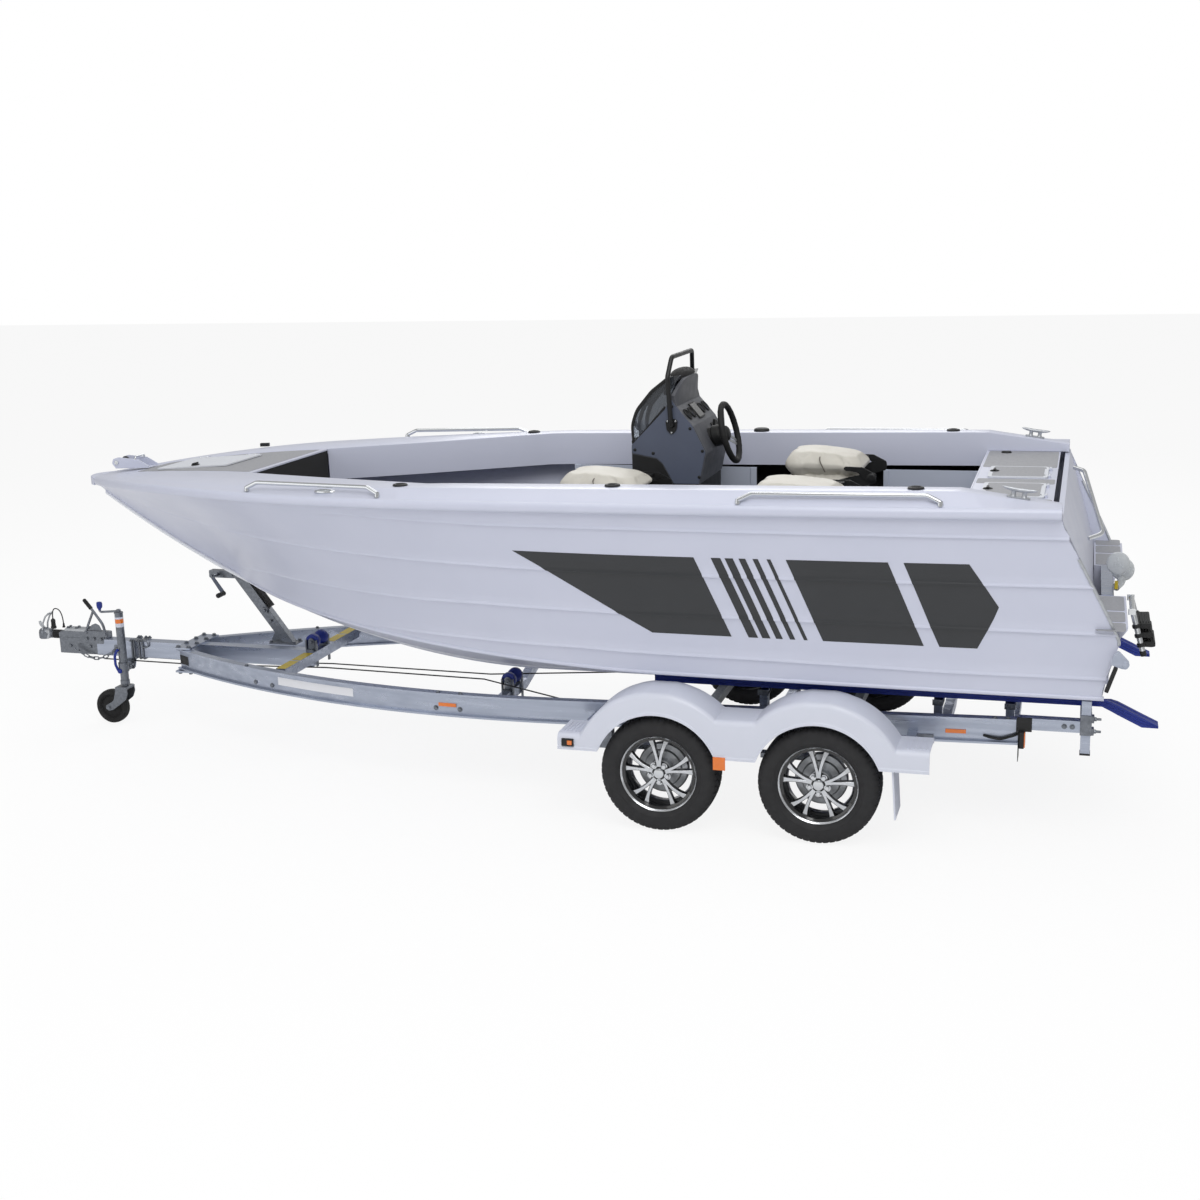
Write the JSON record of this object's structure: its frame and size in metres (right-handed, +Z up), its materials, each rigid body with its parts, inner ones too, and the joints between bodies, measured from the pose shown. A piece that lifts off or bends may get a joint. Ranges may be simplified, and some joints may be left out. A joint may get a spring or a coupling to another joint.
{
  "type": "aluminium fishing boat on a tandem trailer",
  "caption": "Open aluminium side-console fishing boat with folding pedestal seats, standing on its tandem-axle trailer.",
  "frame": {"origin": "on the ground, under the middle of the whole outfit's length and width", "axes": "+X to the bow and the tow ball, +Y to port, +Z up"},
  "size_m": [6.599, 2.44, 2.203],
  "materials": {
    "white_paint": "gloss",
    "grey_paint": "satin",
    "grey_carpet": "matte",
    "stainless": "polished",
    "cast_aluminium": "gloss",
    "black_plastic": "matte",
    "console_plastic": "satin",
    "tinted_acrylic": "gloss",
    "black_tube": "satin",
    "beige_vinyl": "satin",
    "mill_aluminium": "satin",
    "galvanised_steel": "dull",
    "blue_plastic": "satin",
    "rubber": "matte",
    "white_plastic": "satin",
    "lamp_plastic": "gloss",
    "tyre_rubber": "matte",
    "alloy_wheel": "machined"
  },
  "bodies": {
    "root": {"hull_bottom": "white_paint", "hull_side_port": "white_paint", "hull_side_starboard": "white_paint", "gunwale_port": "white_paint", "gunwale_starboard": "white_paint", "bow_cap": "white_paint", "transom": "white_paint", "aft_bulkhead": "grey_paint", "stern_platform": "grey_paint", "foredeck": "grey_paint", "aft_deck": "grey_paint", "cockpit_floor": "grey_carpet", "side_pockets": "grey_carpet", "bow_bulkhead": "grey_carpet", "stainless_rails": "stainless", "deck_hardware": "cast_aluminium", "rod_holders": "black_plastic", "seat_pedestals": "black_plastic", "console": "console_plastic", "windscreen": "tinted_acrylic", "console_rail": "black_tube", "trailer_rail_port": "mill_aluminium", "trailer_rail_starboard": "mill_aluminium", "drawbar": "galvanised_steel", "crossmembers": "galvanised_steel", "axles": "galvanised_steel", "springs": "galvanised_steel", "rear_frame": "galvanised_steel", "winch_post": "galvanised_steel", "coupling": "galvanised_steel", "safety_chains": "galvanised_steel", "skids": "blue_plastic", "keel_rollers": "blue_plastic", "plug_lead": "rubber", "lead_plug": "black_plastic", "fender_port": "white_plastic", "fender_starboard": "white_plastic", "tail_lamps": "lamp_plastic"},
    "wheel_front_port": {"tyre_front_port": "tyre_rubber", "rim_front_port": "alloy_wheel"},
    "wheel_rear_port": {"tyre_rear_port": "tyre_rubber", "rim_rear_port": "alloy_wheel"},
    "wheel_front_starboard": {"tyre_front_starboard": "tyre_rubber", "rim_front_starboard": "alloy_wheel"},
    "wheel_rear_starboard": {"tyre_rear_starboard": "tyre_rubber", "rim_rear_starboard": "alloy_wheel"},
    "jockey_stand": {"jockey_tube": "galvanised_steel"},
    "jockey_caster": {"jockey_leg": "galvanised_steel"},
    "jockey_roller": {"jockey_wheel": "rubber"},
    "helm_wheel": {"steering_wheel": "black_tube"},
    "swivel_helm": {"seat_helm": "beige_vinyl"},
    "fold_helm": {"seat_back_helm": "beige_vinyl"},
    "swivel_port": {"seat_port": "beige_vinyl"},
    "fold_port": {"seat_back_port": "beige_vinyl"},
    "swivel_bow": {"seat_bow": "beige_vinyl"},
    "fold_bow": {"seat_back_bow": "beige_vinyl"},
    "hatch": {"anchor_hatch": "grey_paint"},
    "bait": {"bait_lid": "grey_paint"},
    "locker": {"locker_lid": "grey_paint"},
    "ladder": {"boarding_ladder": "stainless"}
  },
  "joints": [
    {"name": "wheel_front_port_spin", "type": "hinge", "parent": "root", "child": "wheel_front_port", "pos_m": [-0.987, 1.08, 0.293], "axis": [0, 1, 0], "continuous": true},
    {"name": "wheel_rear_port_spin", "type": "hinge", "parent": "root", "child": "wheel_rear_port", "pos_m": [-1.767, 1.08, 0.293], "axis": [0, 1, 0], "continuous": true},
    {"name": "wheel_front_starboard_spin", "type": "hinge", "parent": "root", "child": "wheel_front_starboard", "pos_m": [-0.987, -1.08, 0.293], "axis": [0, 1, 0], "continuous": true},
    {"name": "wheel_rear_starboard_spin", "type": "hinge", "parent": "root", "child": "wheel_rear_starboard", "pos_m": [-1.767, -1.08, 0.293], "axis": [0, 1, 0], "continuous": true},
    {"name": "jockey_swing", "type": "hinge", "parent": "root", "child": "jockey_stand", "pos_m": [2.643, 0.118, 0.358], "axis": [0, 1, 0], "range_deg": [0, 90]},
    {"name": "jockey_swivel", "type": "hinge", "parent": "jockey_stand", "child": "jockey_caster", "pos_m": [2.643, 0.118, 0.238], "axis": [0, 0, 1], "continuous": true},
    {"name": "jockey_spin", "type": "hinge", "parent": "jockey_caster", "child": "jockey_roller", "pos_m": [2.743, 0.118, 0.105], "axis": [0, 1, 0], "continuous": true},
    {"name": "helm_turn", "type": "hinge", "parent": "root", "child": "helm_wheel", "pos_m": [-1.012, -0.45, 1.755], "axis": [0.9701, 0, -0.2425], "range_deg": [-540, 540]},
    {"name": "seat_swivel_helm", "type": "hinge", "parent": "root", "child": "swivel_helm", "pos_m": [-1.567, -0.45, 1.44], "axis": [0, 0, 1], "continuous": true},
    {"name": "seat_fold_helm", "type": "hinge", "parent": "swivel_helm", "child": "fold_helm", "pos_m": [-1.829, -0.45, 1.552], "axis": [0, -1, 0], "range_deg": [0, 100]},
    {"name": "seat_swivel_port", "type": "hinge", "parent": "root", "child": "swivel_port", "pos_m": [-1.567, 0.47, 1.44], "axis": [0, 0, 1], "continuous": true},
    {"name": "seat_fold_port", "type": "hinge", "parent": "swivel_port", "child": "fold_port", "pos_m": [-1.829, 0.47, 1.552], "axis": [0, -1, 0], "range_deg": [0, 100]},
    {"name": "seat_swivel_bow", "type": "hinge", "parent": "root", "child": "swivel_bow", "pos_m": [-0.527, 0.33, 1.44], "axis": [0, 0, 1], "continuous": true},
    {"name": "seat_fold_bow", "type": "hinge", "parent": "swivel_bow", "child": "fold_bow", "pos_m": [-0.789, 0.33, 1.552], "axis": [0, -1, 0], "range_deg": [0, 100]},
    {"name": "anchor_hatch_open", "type": "hinge", "parent": "root", "child": "hatch", "pos_m": [2.003, -0.224, 1.60887], "axis": [0.9977, 0, -0.0678], "range_deg": [0, 105]},
    {"name": "bait_lid_open", "type": "hinge", "parent": "root", "child": "bait", "pos_m": [-2.746, -0.15, 1.6075], "axis": [0, -1, 0], "range_deg": [0, 100]},
    {"name": "locker_lid_open", "type": "hinge", "parent": "root", "child": "locker", "pos_m": [-2.746, 0.42, 1.6075], "axis": [0, -1, 0], "range_deg": [0, 100]},
    {"name": "ladder_swing", "type": "hinge", "parent": "root", "child": "ladder", "pos_m": [-3.152, 0.57, 1.1], "axis": [0, 1, 0], "range_deg": [0, 150]}
  ]
}
